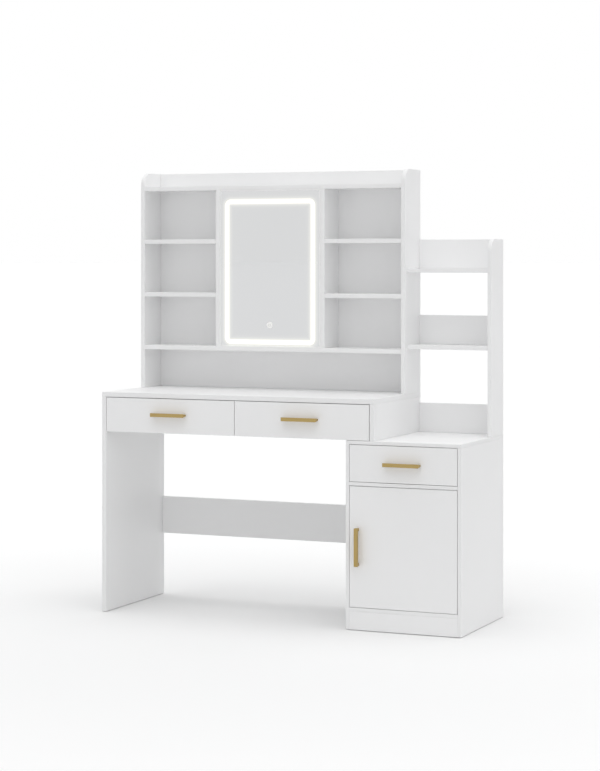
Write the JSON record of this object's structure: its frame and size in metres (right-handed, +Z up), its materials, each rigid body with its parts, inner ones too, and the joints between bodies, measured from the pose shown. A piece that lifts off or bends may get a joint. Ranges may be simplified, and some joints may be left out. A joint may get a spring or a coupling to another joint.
{
  "type": "vanity table with mirror",
  "caption": "White dressing table with drawers, a side cabinet, an open hutch and shelf unit, a lit rectangular mirror and brass-coloured bar handles.",
  "frame": {"origin": "floor level under the middle of the overall box, handles included", "axes": "+X to the sitter's right, towards the cabinet; +Y to the back; +Z up"},
  "size_m": [1.292, 0.46, 1.507],
  "materials": {
    "white_board": "matt white melamine",
    "hardboard": "painted white hardboard",
    "gold_metal": "brushed satin",
    "mirror_glass": "polished",
    "light_band": "frosted, lit from behind",
    "trim_metal": "white satin",
    "tray_metal": "white powder coat",
    "led_strip": "satin",
    "black_plastic": "matt",
    "white_plastic": "matt",
    "runner_steel": "zinc plated",
    "pin_steel": "nickel plated",
    "beech": "raw fluted"
  },
  "bodies": {
    "carcass": {"desk_top": "white_board", "left_leg": "white_board", "desk_right_side": "white_board", "drawer_divider": "white_board", "desk_back_rail": "white_board", "modesty_panel": "white_board", "cabinet_top": "white_board", "cabinet_left_side": "white_board", "cabinet_right_side": "white_board", "cabinet_bottom": "white_board", "cabinet_mid_board": "white_board", "cabinet_back": "hardboard", "cabinet_plinth": "white_board", "hutch_left_side": "white_board", "hutch_right_side": "white_board", "hutch_back": "white_board", "hutch_top_shelf": "white_board", "left_divider": "white_board", "right_divider": "white_board", "long_shelf": "white_board", "bay_shelves": "white_board", "unit_panel": "white_board", "unit_top_shelf": "white_board", "unit_middle_shelf": "white_board", "unit_rails": "white_board", "mirror_trim": "trim_metal", "mirror_glass": "mirror_glass", "light_band": "light_band", "led_strip": "led_strip", "mirror_tray": "tray_metal", "touch_switch": "light_band", "led_driver": "black_plastic", "power_inlet": "black_plastic", "case_runners": "runner_steel", "door_pivot_bushes": "white_plastic", "door_catch": "white_plastic", "floor_glides": "white_plastic", "assembly_dowels": "beech"},
    "door": {"door_panel": "white_board", "door_handle": "gold_metal", "door_pivot_pins": "pin_steel", "door_strike": "pin_steel"},
    "left_drawer": {"left_drawer_front": "white_board", "left_drawer_sides": "white_board", "left_drawer_back": "white_board", "left_drawer_bottom": "hardboard", "left_drawer_handle": "gold_metal", "left_drawer_runners": "runner_steel"},
    "right_drawer": {"right_drawer_front": "white_board", "right_drawer_sides": "white_board", "right_drawer_back": "white_board", "right_drawer_bottom": "hardboard", "right_drawer_handle": "gold_metal", "right_drawer_runners": "runner_steel"},
    "cabinet_drawer": {"cabinet_drawer_front": "white_board", "cabinet_drawer_sides": "white_board", "cabinet_drawer_back": "white_board", "cabinet_drawer_bottom": "hardboard", "cabinet_drawer_handle": "gold_metal", "cabinet_drawer_runners": "runner_steel"}
  },
  "joints": [
    {"name": "left_drawer_slide", "type": "slide", "parent": "carcass", "child": "left_drawer", "axis": [0, -1, 0], "range_m": [0, 0.26]},
    {"name": "right_drawer_slide", "type": "slide", "parent": "carcass", "child": "right_drawer", "axis": [0, -1, 0], "range_m": [0, 0.26]},
    {"name": "cabinet_drawer_slide", "type": "slide", "parent": "carcass", "child": "cabinet_drawer", "axis": [0, -1, 0], "range_m": [0, 0.26]},
    {"name": "door_hinge", "type": "hinge", "parent": "carcass", "child": "door", "pos_m": [0.6225, -0.201, 0.2715], "axis": [0, 0, 1], "range_deg": [0, 110]}
  ]
}
